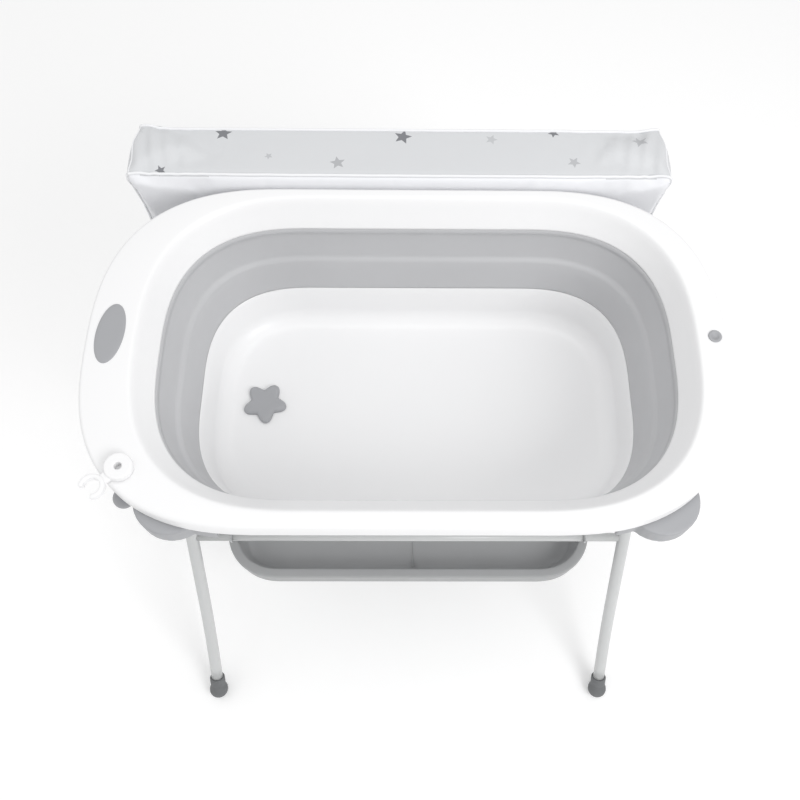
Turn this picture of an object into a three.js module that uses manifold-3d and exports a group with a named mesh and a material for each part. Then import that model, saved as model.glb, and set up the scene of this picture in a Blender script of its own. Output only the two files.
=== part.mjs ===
// Folding baby bath and changing table.
// Millimetres, +Z up, +X to the right, +Y to the back. The origin is on the floor, in the middle of the feet.
// Two pairs of crossed legs carry a bath whose soft wall folds flat. A tray hangs from the
// cross tubes, and a changing pad on swing arms hangs behind the bath or lies on top of it.

import * as THREE from 'three';
import { mergeVertices } from 'three/addons/utils/BufferGeometryUtils.js';
import Module from 'manifold-3d';

const wasm = await Module();
wasm.setup();

// ---------- driving dimensions ----------

const GAP = 0.3; // clearance between pieces that touch
const SNAP = 3; // length by which a cutting tool runs past what it cuts

// bath rim
const RIM_LENGTH = 800;
const RIM_WIDTH = 476;
const RIM_HEIGHT = 900; // floor to the rim's top
const RIM_SKIRT = 25;
const RIM_WALL = 3;
const RIM_EDGE = 5; // rounding of the outer edge
const RIM_FLAT = { left: 63, right: 40, front: 24, back: 18 };
const RIM_DROP = 39; // depth of the sloping inner band
const CORNER_POWER = 2.65; // 2 is a circle, more is squarer

// soft wall and base
const BASIN_SHIFT = { x: 12, y: 3.5 }; // the basin sits towards the right end and the back
const RIM_SLOPE = { x: 19.5, y: 22.5 }; // how far the rim's sloping band leans in
const WALL_LEAN = { x: 30, y: 22.5 }; // how far the soft wall leans in at each end and side
const WALL_CORNER = { top: 185, foot: 150 };
const WALL_HEIGHT = 115;
const WALL_THICKNESS = 3;
const FOLD_STEP = 5; // the wall's step at its folding line
const BASE_DEPTH = 65;
const BASE_THICKNESS = 3;
const BASE_ROUNDING = 26;
const BASE_DRAFT = 9; // how far the base's side leans in

// drain
const DRAIN_X = -223; // from the basin's middle
const DRAIN_Y = 16;
const DRAIN_RADIUS = 19;
const DRAIN_PIPE = { outer: 16, bore: 13, length: 26 };
const STAR_RADIUS = 32;
const STAR_WAIST = 21;
const STAR_HEIGHT = 7;
const STAR_TURN = -0.21; // radians
const PLUG_STEM = { radius: 11.5, length: 12 };

// trim and hose holder on the rim
const INSET = { fromEnd: 31, y: 12, halfX: 17.8, halfY: 42, proud: 1, tilt: -4 };
const RIM_PLUG = { fromEnd: 17, y: 11, head: 8.5, stem: 6, proud: 1.5 };
const HOLDER = { fromEnd: 69, fromSide: 72, reach: 36, angle: 222 };
const HOLDER_BODY = { ring: 16.5, stem: 6.3, bore: 4.5, height: 10 };
const HOSE_CLIP = { outer: 15, inner: 9.5, opening: 90, turn: 6 };

// crossed legs
const LEG_FROM_END = 45; // from the rim's end to the inner leg's middle
const LEG_PAIR_GAP = 4; // between the outer and the inner leg
const TUBE_RADIUS = 11;
const TUBE_WALL = 1.5;
const LEG_TOP = { fromSide: 68.25, belowRim: 96.37 }; // from the rim's side and top
const FOOT_Y = 312;
const KNEE = { y: 216, z: 150, bend: 80 }; // the leg spreads a little below this
const FOOT_RADIUS = 18;
const FOOT_COLLAR = { radius: 14.5, top: 34, seat: 14 };
const CAP_RADIUS = 13.5;
const CAP_SKIRT = 16;
const CROSS_TUBE_RADIUS = 7.5;
const LOWER_TUBE_Y = 94; // from the middle, where the tray's hangers reach
const FRONT_UPPER_TUBE_AT = 150; // places along the leg, from the pivot
const REAR_UPPER_TUBE_AT = 110;
const BOLT = { radius: 4, head: 8, headHeight: 5, nut: 7.5, nutHeight: 5.5 };
const WASHER_RADIUS = 10;

// corner brackets under the rim, which sit on the leg tops
const BRACKET_HEIGHT = 28;
const BRACKET_FOOT = 22; // thickness of the part below the shelf, which reaches out to the leg
const BRACKET_BULGE = { fromMiddle: 288, fromSide: 46, radius: 45 }; // at the front, from the basin's middle

// storage tray
const TRAY = { halfY: 150, corner: 100, top: 290, depth: 60, lip: 16, wall: 2.5, draft: 2, lean: 10 };
const TRAY_END_GAP = 10; // between the tray and the inner legs
const HANGER = { fromEnd: 24, thickness: 3, width: 8 };

// changing pad and swing arms
const PAD = { width: 752, height: 480, thickness: 94, rounding: 7 };
const PAD_SHIFT = -12; // the pad hangs a little towards the left end
const PAD_BEHIND_RIM = 8; // gap between the rim and the hanging pad
const PAD_ABOVE_RIM = 14; // height of the pad over the rim, both hanging and closed
const PAD_OVERHANG = 2; // how far the closed pad reaches past the rim's rear edge
const PAD_BOARD = 12;
const ARM_BELOW_TOP = 39; // from the leg's top down to the arm's pivot
const ARM = { legGap: 10, rimGap: 2, thickness: 6, width: 24 };
const PAD_PIN = { radius: 4, depth: 20 };

const CORNER_STEPS = 12; // steps in each corner of the basin's outlines
const TUBE_SIDES = 10;
const ROUND_SIDES = 16;

const HALF_LENGTH = RIM_LENGTH / 2;
const HALF_WIDTH = RIM_WIDTH / 2;

// The legs run straight from the knee to the top, and the two pairs cross at y = 0.
const LEG_TOP_Y = HALF_WIDTH - LEG_TOP.fromSide;
const LEG_TOP_Z = RIM_HEIGHT - LEG_TOP.belowRim;
const LEG_TILT = Math.atan2(LEG_TOP_Z - KNEE.z, LEG_TOP_Y + KNEE.y);
const CROSS_HEIGHT = KNEE.z + KNEE.y * Math.tan(LEG_TILT);
const LEG_ABOVE_PIVOT = (LEG_TOP_Z - CROSS_HEIGHT) / Math.sin(LEG_TILT);
const LOWER_TUBE_AT = -LOWER_TUBE_Y / Math.cos(LEG_TILT);
const ARM_PIVOT_AT = LEG_ABOVE_PIVOT - ARM_BELOW_TOP; // along the front leg, from its pivot
const REAR_LEG_X = HALF_LENGTH - LEG_FROM_END; // legs that stand at the back, inside the others
const FRONT_LEG_X = REAR_LEG_X + 2 * TUBE_RADIUS + LEG_PAIR_GAP; // legs that stand at the front
const FRONT_LEG_SIDE = FRONT_LEG_X + TUBE_RADIUS;
const HOLDER_X = HOLDER.fromEnd - HALF_LENGTH;
const HOLDER_Y = HOLDER.fromSide - HALF_WIDTH;
const ARM_X = Math.max(FRONT_LEG_SIDE + ARM.legGap, HALF_LENGTH + ARM.rimGap);
const TRAY_HALF_X = REAR_LEG_X - TUBE_RADIUS - TRAY_END_GAP;
const PAD_FRONT = HALF_WIDTH + PAD_BEHIND_RIM;
const PAD_TOP = RIM_HEIGHT + PAD_ABOVE_RIM;

const COLOUR = {
  white: 0xf7f7f7,
  silicone: 0xb4b5b9,
  grey: 0xa6a8ac,
  paint: 0xd3d6d7,
  steel: 0xb8bcc0,
  rubber: 0x767a7e,
  fabric: 0xe3e5e9,
  board: 0xf0f1f3,
};

// ---------- general shapes ----------

const table = new THREE.Group();

function add(name, geometry, colour, roughness = 0.5, metalness = 0) {
  const material = new THREE.MeshStandardMaterial({ color: colour, roughness, metalness });
  const mesh = new THREE.Mesh(geometry, material);
  mesh.name = name;
  table.add(mesh);
  return mesh;
}

const SIDES = [['left', -1], ['right', 1]];

function toSolid(geometry) {
  const bare = geometry.index ? geometry.toNonIndexed() : geometry.clone();
  for (const key of Object.keys(bare.attributes)) {
    if (key !== 'position') bare.deleteAttribute(key);
  }
  const merged = mergeVertices(bare, 1e-4);
  const mesh = new wasm.Mesh({
    numProp: 3,
    vertProperties: Float32Array.from(merged.attributes.position.array),
    triVerts: Uint32Array.from(merged.index.array),
  });
  return new wasm.Manifold(mesh);
}

function fromSolid(solid) {
  const { vertProperties, triVerts } = solid.getMesh();
  const geometry = new THREE.BufferGeometry();
  geometry.setAttribute('position', new THREE.BufferAttribute(Float32Array.from(vertProperties), 3));
  geometry.setIndex(Array.from(triVerts));
  geometry.computeVertexNormals();
  return geometry;
}

const cut = (geometry, ...tools) =>
  fromSolid(tools.reduce((body, tool) => body.subtract(toSolid(tool)), toSolid(geometry)));

const join = (geometry, ...others) =>
  fromSolid(others.reduce((body, other) => body.add(toSolid(other)), toSolid(geometry)));

// A cylinder along X, centred on the given point.
function rodX(radius, length, x, y, z, sides = ROUND_SIDES) {
  return new THREE.CylinderGeometry(radius, radius, length, sides).rotateZ(-Math.PI / 2).translate(x, y, z);
}

// A cylinder along Z, standing on the given point.
function rodZ(radius, length, x, y, z, sides = ROUND_SIDES) {
  return new THREE.CylinderGeometry(radius, radius, length, sides)
    .rotateX(Math.PI / 2)
    .translate(x, y, z + length / 2);
}

// A turned piece along Z: the profile holds [radius, height] pairs.
function turned(profile, sides = ROUND_SIDES) {
  const points = profile.map(([radius, height]) => new THREE.Vector2(radius, height));
  return new THREE.LatheGeometry(points, sides).rotateX(Math.PI / 2);
}

// A flat piece: an outline in the XY plane, extruded upwards.
function plate(points, height, bevel = 0) {
  const shape = new THREE.Shape(points.map(([x, y]) => new THREE.Vector2(x, y)));
  const options = { depth: height - 2 * bevel, bevelEnabled: bevel > 0, curveSegments: ROUND_SIDES };
  Object.assign(options, { bevelThickness: bevel, bevelSize: bevel, bevelOffset: -bevel, bevelSegments: 2 });
  return new THREE.ExtrudeGeometry(shape, options).translate(0, 0, bevel);
}

// Points on a circle's arc, angles in degrees.
function arc(x, y, radius, from, to, steps) {
  return Array.from({ length: steps + 1 }, (_, i) => {
    const angle = THREE.MathUtils.degToRad(from + ((to - from) * i) / steps);
    return [x + radius * Math.cos(angle), y + radius * Math.sin(angle)];
  });
}

function ellipse(halfX, halfY, steps = ROUND_SIDES) {
  return Array.from({ length: steps }, (_, i) => {
    const angle = (i / steps) * 2 * Math.PI;
    return [halfX * Math.cos(angle), halfY * Math.sin(angle)];
  });
}

// A round tube along a path; a wall of 0 gives a solid rod.
function tube(path, radius, wall, steps, sides = TUBE_SIDES) {
  const round = (size) => ellipse(size, size, sides).map((p) => new THREE.Vector2(...p));
  const section = new THREE.Shape(round(radius));
  if (wall > 0) section.holes.push(new THREE.Path(round(radius - wall)));
  return new THREE.ExtrudeGeometry(section, { steps, extrudePath: path, bevelEnabled: false });
}

// ---------- rounded outlines and lofts ----------

// A rounded rectangle whose corners are super-ellipses.
function outline({ halfX, halfY, corner, x = 0, y = 0, power = CORNER_POWER }) {
  const points = [];
  for (let quarter = 0; quarter < 4; quarter += 1) {
    const signX = quarter === 0 || quarter === 3 ? 1 : -1;
    const signY = quarter < 2 ? 1 : -1;
    for (let i = 0; i < CORNER_STEPS; i += 1) {
      const turn = ((i + 0.5) / CORNER_STEPS) * (Math.PI / 2);
      const angle = quarter % 2 === 0 ? turn : Math.PI / 2 - turn;
      const alongX = Math.cos(angle) ** (2 / power);
      const alongY = Math.sin(angle) ** (2 / power);
      points.push([
        x + signX * (halfX - corner + corner * alongX),
        y + signY * (halfY - corner + corner * alongY),
      ]);
    }
  }
  return points;
}

const grown = (shape, by) => ({
  ...shape,
  halfX: shape.halfX + by,
  halfY: shape.halfY + by,
  corner: shape.corner + by,
});

const mixed = (a, b, share) => {
  const mix = (key, fallback = 0) =>
    THREE.MathUtils.lerp(a[key] ?? fallback, b[key] ?? fallback, share);
  return {
    halfX: mix('halfX'),
    halfY: mix('halfY'),
    corner: mix('corner'),
    x: mix('x'),
    y: mix('y'),
    power: mix('power', CORNER_POWER),
  };
};

// Joins outlines at their heights. A ring closes on itself; otherwise both ends are closed by a fan.
function loft(levels, ring = false) {
  const loops = levels.map(([shape, z]) => outline(shape).map(([x, y]) => [x, y, z]));
  const count = loops[0].length;
  const positions = loops.flat(2);
  const index = [];
  const last = ring ? loops.length : loops.length - 1;
  for (let level = 0; level < last; level += 1) {
    const here = level * count;
    const next = ((level + 1) % loops.length) * count;
    for (let i = 0; i < count; i += 1) {
      const j = (i + 1) % count;
      index.push(here + i, here + j, next + j, here + i, next + j, next + i);
    }
  }
  if (!ring) {
    for (const [level, flip] of [[0, true], [loops.length - 1, false]]) {
      const [shape, z] = levels[level];
      const middle = positions.length / 3;
      positions.push(shape.x ?? 0, shape.y ?? 0, z);
      for (let i = 0; i < count; i += 1) {
        const a = level * count + i;
        const b = level * count + ((i + 1) % count);
        index.push(middle, flip ? b : a, flip ? a : b);
      }
    }
  }
  const geometry = new THREE.BufferGeometry();
  geometry.setAttribute('position', new THREE.BufferAttribute(Float32Array.from(positions), 3));
  geometry.setIndex(index);
  geometry.computeVertexNormals();
  return geometry;
}

// ---------- bath ----------

const rimOuter = { halfX: RIM_LENGTH / 2, halfY: RIM_WIDTH / 2, corner: RIM_WIDTH / 2 };
const rimInner = {
  halfX: (RIM_LENGTH - RIM_FLAT.left - RIM_FLAT.right) / 2,
  halfY: (RIM_WIDTH - RIM_FLAT.front - RIM_FLAT.back) / 2,
  corner: (RIM_WIDTH - RIM_FLAT.front - RIM_FLAT.back) / 2,
  x: (RIM_FLAT.left - RIM_FLAT.right) / 2,
  y: (RIM_FLAT.front - RIM_FLAT.back) / 2,
};
const wallTop = {
  halfX: rimInner.halfX - RIM_SLOPE.x,
  halfY: rimInner.halfY - RIM_SLOPE.y,
  corner: WALL_CORNER.top,
  ...BASIN_SHIFT,
};
const wallFoot = {
  halfX: wallTop.halfX - WALL_LEAN.x,
  halfY: wallTop.halfY - WALL_LEAN.y,
  corner: WALL_CORNER.foot,
  ...BASIN_SHIFT,
};

const WALL_TOP_Z = RIM_HEIGHT - RIM_DROP;
const WALL_FOOT_Z = WALL_TOP_Z - WALL_HEIGHT;
const BASE_TOP_Z = WALL_FOOT_Z - GAP;
const FLOOR_Z = BASE_TOP_Z - BASE_DEPTH; // the basin's inside floor

const RIM_INNER_EDGE = 4;

function rimShell() {
  const lip = grown(wallTop, RIM_WALL);
  return loft(
    [
      [rimOuter, RIM_HEIGHT - RIM_SKIRT],
      [rimOuter, RIM_HEIGHT - RIM_EDGE],
      [grown(rimOuter, -RIM_EDGE * 0.3), RIM_HEIGHT - RIM_EDGE * 0.3],
      [grown(rimOuter, -RIM_EDGE), RIM_HEIGHT],
      [grown(rimInner, RIM_INNER_EDGE), RIM_HEIGHT],
      [rimInner, RIM_HEIGHT - RIM_INNER_EDGE * 0.4],
      [mixed(rimInner, wallTop, 0.25), RIM_HEIGHT - RIM_DROP * 0.3],
      [wallTop, WALL_TOP_Z],
      [lip, WALL_TOP_Z],
      [grown(mixed(rimInner, wallTop, 0.25), RIM_WALL), RIM_HEIGHT - RIM_DROP * 0.3 - 1],
      [grown(rimInner, RIM_WALL), RIM_HEIGHT - RIM_WALL],
      [grown(rimOuter, -RIM_WALL - 1), RIM_HEIGHT - RIM_WALL],
      [grown(rimOuter, -RIM_WALL), RIM_HEIGHT - RIM_EDGE],
      [grown(rimOuter, -RIM_WALL), RIM_HEIGHT - RIM_SKIRT],
    ],
    true,
  );
}

function insetPlate(grow, height) {
  return plate(ellipse(INSET.halfX + grow, INSET.halfY + grow), height)
    .rotateZ(THREE.MathUtils.degToRad(INSET.tilt))
    .translate(INSET.fromEnd - HALF_LENGTH, INSET.y, RIM_HEIGHT - RIM_WALL - SNAP);
}

function rimPieces() {
  const through = RIM_WALL + 2 * SNAP;
  const low = RIM_HEIGHT - RIM_WALL - SNAP;
  const rim = cut(
    rimShell(),
    insetPlate(GAP, through),
    rodZ(RIM_PLUG.stem + GAP, through, HALF_LENGTH - RIM_PLUG.fromEnd, RIM_PLUG.y, low),
    rodZ(HOLDER_BODY.stem + GAP, through, HOLDER_X, HOLDER_Y, low),
  );
  add('bath_rim', rim, COLOUR.white, 0.3);

  add('rim_inset', insetPlate(0, RIM_WALL + SNAP + INSET.proud), COLOUR.grey, 0.55);
  const plugProfile = [
    [0, -RIM_WALL - SNAP],
    [RIM_PLUG.stem, -RIM_WALL - SNAP],
    [RIM_PLUG.stem, GAP],
    [RIM_PLUG.head, GAP],
    [RIM_PLUG.head - 1, RIM_PLUG.proud],
    [0, RIM_PLUG.proud],
  ];
  const plugX = HALF_LENGTH - RIM_PLUG.fromEnd;
  add('rim_plug', turned(plugProfile).translate(plugX, RIM_PLUG.y, RIM_HEIGHT), COLOUR.grey, 0.5);
}

function softWall() {
  const foldZ = WALL_FOOT_Z + WALL_HEIGHT * 0.52;
  const fold = mixed(wallFoot, wallTop, 0.52);
  const top = WALL_TOP_Z - GAP;
  const inside = [
    [wallTop, top],
    [grown(fold, FOLD_STEP / 2), foldZ + FOLD_STEP],
    [grown(fold, -FOLD_STEP / 2), foldZ - FOLD_STEP],
    [wallFoot, WALL_FOOT_Z],
  ];
  const outside = inside.map(([shape, z]) => [grown(shape, WALL_THICKNESS), z]).reverse();
  add('bath_wall', loft([...inside, ...outside], true), COLOUR.silicone, 0.6);
}

function bathBase() {
  const side = grown(wallFoot, -BASE_DRAFT);
  const round = (share) => BASE_ROUNDING * (1 - Math.cos(share * Math.PI * 0.5));
  const lift = (share) => BASE_ROUNDING * (1 - Math.sin(share * Math.PI * 0.5));
  const inner = [
    [grown(wallFoot, 0), BASE_TOP_Z],
    [side, FLOOR_Z + BASE_ROUNDING],
    [grown(side, -round(0.4)), FLOOR_Z + lift(0.4)],
    [grown(side, -round(0.75)), FLOOR_Z + lift(0.75)],
    [grown(side, -BASE_ROUNDING - 2), FLOOR_Z],
  ];
  const outer = inner.map(([shape, z]) => [grown(shape, BASE_THICKNESS), z]).reverse();
  outer[0] = [grown(side, -BASE_ROUNDING), FLOOR_Z - BASE_THICKNESS];
  outer[1] = [outer[1][0], outer[1][1] - BASE_THICKNESS * 0.7];
  const shell = loft([...outer, ...inner]);
  const drainX = BASIN_SHIFT.x + DRAIN_X;
  const below = FLOOR_Z - BASE_THICKNESS - SNAP;
  const hole = rodZ(DRAIN_RADIUS, BASE_THICKNESS + 2 * SNAP, drainX, DRAIN_Y, below);
  add('bath_base', cut(shell, hole), COLOUR.white, 0.28);
}

// A five-pointed star with soft points.
function starOutline(points = 40) {
  return Array.from({ length: points }, (_, i) => {
    const angle = (i / points) * 2 * Math.PI;
    const wave = 0.5 + 0.5 * Math.cos(5 * angle);
    const radius = THREE.MathUtils.lerp(STAR_WAIST, STAR_RADIUS, wave ** 0.9);
    return [radius * Math.cos(angle), radius * Math.sin(angle)];
  });
}

function drain() {
  const x = BASIN_SHIFT.x + DRAIN_X;
  const flangeTop = FLOOR_Z - BASE_THICKNESS - GAP;
  const fitting = turned([
    [DRAIN_PIPE.bore, -DRAIN_PIPE.length],
    [DRAIN_PIPE.outer, -DRAIN_PIPE.length],
    [DRAIN_PIPE.outer, -DRAIN_PIPE.length * 0.3],
    [DRAIN_RADIUS + 8, -DRAIN_PIPE.length * 0.3],
    [DRAIN_RADIUS + 8, 0],
    [DRAIN_PIPE.bore, 0],
    [DRAIN_PIPE.bore, -DRAIN_PIPE.length],
  ]);
  add('drain_fitting', fitting.translate(x, DRAIN_Y, flangeTop), COLOUR.grey, 0.5);

  const head = plate(starOutline(), STAR_HEIGHT, 2).rotateZ(STAR_TURN).translate(x, DRAIN_Y, FLOOR_Z + GAP);
  const stem = rodZ(PLUG_STEM.radius, PLUG_STEM.length + 2, x, DRAIN_Y, FLOOR_Z + GAP - PLUG_STEM.length);
  add('drain_plug', join(head, stem), COLOUR.grey, 0.6);
}

function hoseHolder() {
  const turn = THREE.MathUtils.degToRad(HOLDER.angle);
  const seat = RIM_HEIGHT + GAP;
  const below = seat - RIM_WALL - SNAP;
  const clip = arc(0, 0, HOSE_CLIP.outer, HOSE_CLIP.opening / 2, 360 - HOSE_CLIP.opening / 2, 24);
  const inside = arc(0, 0, HOSE_CLIP.inner, HOSE_CLIP.opening / 2, 360 - HOSE_CLIP.opening / 2, 24);
  const clipPlate = plate([...clip, ...inside.reverse()], HOLDER_BODY.height, 1)
    .rotateZ(turn + THREE.MathUtils.degToRad(HOSE_CLIP.turn))
    .translate(
      HOLDER_X + HOLDER.reach * Math.cos(turn),
      HOLDER_Y + HOLDER.reach * Math.sin(turn),
      seat,
    );
  const armLength = HOLDER.reach - HOSE_CLIP.inner - 2;
  const arm = plate([[0, -7], [armLength, -6], [armLength, 6], [0, 7]], HOLDER_BODY.height - 3, 1)
    .rotateZ(turn)
    .translate(HOLDER_X, HOLDER_Y, seat);
  const ring = rodZ(HOLDER_BODY.ring, HOLDER_BODY.height, HOLDER_X, HOLDER_Y, seat);
  const stem = rodZ(HOLDER_BODY.stem, seat - below + 1, HOLDER_X, HOLDER_Y, below);
  const body = join(ring, stem, arm, clipPlate);
  const bore = rodZ(HOLDER_BODY.bore, HOLDER_BODY.height * 3, HOLDER_X, HOLDER_Y, below - SNAP);
  add('hose_holder', cut(body, bore), COLOUR.white, 0.35);
}

// ---------- crossed legs ----------

// A place on a leg, by its distance above the pivot. Facing is -1 where the foot is at the front.
const onLeg = (facing, along) => ({
  y: -facing * along * Math.cos(LEG_TILT),
  z: CROSS_HEIGHT + along * Math.sin(LEG_TILT),
});

function legPath(x, facing) {
  const kneeAt = (KNEE.z - CROSS_HEIGHT) / Math.sin(LEG_TILT);
  const knee = onLeg(facing, kneeAt);
  const foot = new THREE.Vector3(x, facing * FOOT_Y, FOOT_RADIUS);
  const kneePoint = new THREE.Vector3(x, knee.y, knee.z);
  const lower = kneePoint.clone().sub(foot).normalize();
  const start = foot.clone().addScaledVector(lower, FOOT_COLLAR.seat);
  const end = onLeg(facing, LEG_ABOVE_PIVOT);
  const above = onLeg(facing, kneeAt + KNEE.bend);
  const path = new THREE.CurvePath();
  const bendStart = kneePoint.clone().addScaledVector(lower, -KNEE.bend);
  const bendEnd = new THREE.Vector3(x, above.y, above.z);
  path.add(new THREE.LineCurve3(start, bendStart));
  path.add(new THREE.QuadraticBezierCurve3(bendStart, kneePoint, bendEnd));
  path.add(new THREE.LineCurve3(bendEnd, new THREE.Vector3(x, end.y, end.z)));
  return { path, foot, lower };
}

const LEG_STEPS = 11;

function aim(geometry, direction, place) {
  const turn = new THREE.Quaternion().setFromUnitVectors(new THREE.Vector3(0, 0, 1), direction);
  return geometry.applyQuaternion(turn).translate(place.x, place.y, place.z);
}

function footGeometry() {
  const start = Math.asin(FOOT_COLLAR.radius / FOOT_RADIUS);
  const ball = Array.from({ length: 7 }, (_, i) => {
    const angle = Math.PI - ((Math.PI - start) * i) / 6;
    return [i === 0 ? 0 : FOOT_RADIUS * Math.sin(angle), FOOT_RADIUS * Math.cos(angle)];
  });
  const bore = TUBE_RADIUS + GAP;
  return turned([
    ...ball,
    [FOOT_COLLAR.radius, FOOT_COLLAR.top - 1],
    [FOOT_COLLAR.radius - 1, FOOT_COLLAR.top],
    [bore, FOOT_COLLAR.top],
    [bore, FOOT_COLLAR.seat - GAP],
    [0, FOOT_COLLAR.seat - GAP],
  ]);
}

function capGeometry() {
  const bore = TUBE_RADIUS + GAP;
  const dome = Array.from({ length: 5 }, (_, i) => {
    const angle = (Math.PI / 2) * (1 - i / 4);
    return [i === 4 ? 0 : CAP_RADIUS * Math.sin(angle), CAP_RADIUS * Math.cos(angle)];
  });
  return turned([[0, GAP], [bore, GAP], [bore, -CAP_SKIRT], [CAP_RADIUS, -CAP_SKIRT], ...dome]);
}

function leg(name, x, facing, holes) {
  const { path, foot, lower } = legPath(x, facing);
  const drills = holes.map((along) => {
    const place = onLeg(facing, along);
    return rodX(BOLT.radius + GAP, 4 * TUBE_RADIUS, x, place.y, place.z, TUBE_SIDES);
  });
  const tubeBody = tube(path, TUBE_RADIUS, TUBE_WALL, LEG_STEPS);
  add(`${name}_leg`, cut(tubeBody, ...drills), COLOUR.paint, 0.4, 0.2);
  add(`${name}_foot`, aim(footGeometry(), lower, foot), COLOUR.rubber, 0.75);
  const top = onLeg(facing, LEG_ABOVE_PIVOT);
  const up = new THREE.Vector3(0, -facing * Math.cos(LEG_TILT), Math.sin(LEG_TILT));
  add(`${name}_cap`, aim(capGeometry(), up, { x, ...top }), COLOUR.grey, 0.6);
}

// A cross tube, its ends coped around the legs.
function crossTube(name, legX, facing, along) {
  const { y, z } = onLeg(facing, along);
  const path = new THREE.LineCurve3(new THREE.Vector3(-legX, y, z), new THREE.Vector3(legX, y, z));
  const body = tube(path, CROSS_TUBE_RADIUS, TUBE_WALL, 1);
  const legs = SIDES.map(([, side]) => {
    const low = onLeg(facing, along - 3 * TUBE_RADIUS);
    const high = onLeg(facing, along + 3 * TUBE_RADIUS);
    const axis = new THREE.LineCurve3(
      new THREE.Vector3(side * legX, low.y, low.z),
      new THREE.Vector3(side * legX, high.y, high.z),
    );
    return tube(axis, TUBE_RADIUS + GAP, 0, 1);
  });
  add(name, cut(body, ...legs), COLOUR.paint, 0.4, 0.2);
}

// A bolt along X, with its head outside, its nut inside and the washer that keeps the pieces apart.
function bolt(name, side, place, { from, to, washerFrom, washerTo }) {
  const { y, z } = place;
  const shank = rodX(BOLT.radius, to - from, side * (from + to) / 2, y, z, TUBE_SIDES);
  const head = rodX(BOLT.head, BOLT.headHeight, side * (to + BOLT.headHeight / 2), y, z, ROUND_SIDES);
  add(`${name}_bolt`, join(shank, head), COLOUR.steel, 0.35, 0.9);
  const nut = rodX(BOLT.nut, BOLT.nutHeight, side * (from + BOLT.nutHeight / 2 + 1), y, z, 6);
  const nutHole = rodX(BOLT.radius + GAP, 4 * BOLT.nutHeight, side * from, y, z, TUBE_SIDES);
  add(`${name}_nut`, cut(nut, nutHole), COLOUR.steel, 0.35, 0.9);
  const middle = side * (washerFrom + washerTo) / 2;
  const washer = rodX(WASHER_RADIUS, washerTo - washerFrom, middle, y, z);
  const washerHole = rodX(BOLT.radius + GAP, 4 * (washerTo - washerFrom), middle, y, z, TUBE_SIDES);
  add(`${name}_spacer`, cut(washer, washerHole), COLOUR.grey, 0.6);
}

function stand() {
  for (const [label, side] of SIDES) {
    leg(`front_${label}`, side * FRONT_LEG_X, -1, [0, ARM_PIVOT_AT]);
    leg(`rear_${label}`, side * REAR_LEG_X, 1, [0]);
    bolt(`pivot_${label}`, side, onLeg(-1, 0), {
      from: REAR_LEG_X - TUBE_RADIUS - GAP - BOLT.nutHeight - 1,
      to: FRONT_LEG_X + TUBE_RADIUS + GAP,
      washerFrom: REAR_LEG_X + TUBE_RADIUS + GAP,
      washerTo: FRONT_LEG_X - TUBE_RADIUS - GAP,
    });
  }
  crossTube('front_lower_tube', FRONT_LEG_X, -1, LOWER_TUBE_AT);
  crossTube('front_upper_tube', FRONT_LEG_X, -1, FRONT_UPPER_TUBE_AT);
  crossTube('rear_lower_tube', REAR_LEG_X, 1, LOWER_TUBE_AT);
  crossTube('rear_upper_tube', REAR_LEG_X, 1, REAR_UPPER_TUBE_AT);
}

// ---------- corner brackets ----------

// Each bracket is a shelf under the rim's corner, on a foot that stands on a leg's cap.
// The front ones bulge out from under the rim, and their feet stay within its outline.
function brackets() {
  const top = RIM_HEIGHT - RIM_SKIRT - GAP;
  const shelfZ = top - BRACKET_HEIGHT;
  const seat = onLeg(-1, LEG_ABOVE_PIVOT);
  const seatZ = seat.z + CAP_RADIUS + GAP;
  const clear = RIM_WALL + 1;
  const basin = loft([
    [grown(wallTop, clear), seatZ - SNAP],
    [grown(wallTop, clear), WALL_TOP_Z - 1],
    [grown(mixed(rimInner, wallTop, 0.25), clear), RIM_HEIGHT - RIM_DROP * 0.3 - 1],
  ]);
  const underRim = plate(outline(grown(rimOuter, -2)), BRACKET_HEIGHT).translate(0, 0, shelfZ);
  const belowRim = toSolid(plate(outline(rimOuter), top - seatZ + 1).translate(0, 0, seatZ - 1));
  const { fromMiddle, fromSide, radius } = BRACKET_BULGE;
  const bulgeY = HALF_WIDTH - fromSide;
  for (const [end, facing, legX] of [['front', -1, REAR_LEG_X], ['rear', 1, FRONT_LEG_X]]) {
    for (const [label, side] of SIDES) {
      const outside = legX + CAP_RADIUS;
      const bulgeX = fromMiddle + side * BASIN_SHIFT.x;
      const start = bulgeX - 1.2 * radius;
      const inside = seat.y - CAP_RADIUS;
      const corner = [[start, inside], [outside, inside], [outside, bulgeY], [start, bulgeY + radius]];
      const mirror = ([px, py]) => [side * px, facing * py];
      const shelf = toSolid(plate(corner.map(mirror), BRACKET_HEIGHT).translate(0, 0, shelfZ));
      const clipped = fromSolid(toSolid(underRim).intersect(shelf));
      const edge = seat.y + CAP_RADIUS;
      const link = [[bulgeX, inside], [legX, inside], [legX, edge], [bulgeX, edge]];
      const foot = plate(link.map(mirror), BRACKET_FOOT + 1).translate(0, 0, shelfZ - BRACKET_FOOT);
      const post = rodZ(CAP_RADIUS, shelfZ + 1 - seatZ, side * legX, facing * seat.y, seatZ);
      let support = join(foot, post);
      if (end === 'front') {
        const bulge = rodZ(radius, BRACKET_HEIGHT, side * bulgeX, -bulgeY, shelfZ, 2 * ROUND_SIDES);
        support = join(fromSolid(belowRim.intersect(toSolid(support))), bulge);
      }
      add(`${end}_${label}_bracket`, cut(join(clipped, support), basin), COLOUR.grey, 0.6);
    }
  }
}

// ---------- storage tray ----------

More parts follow.
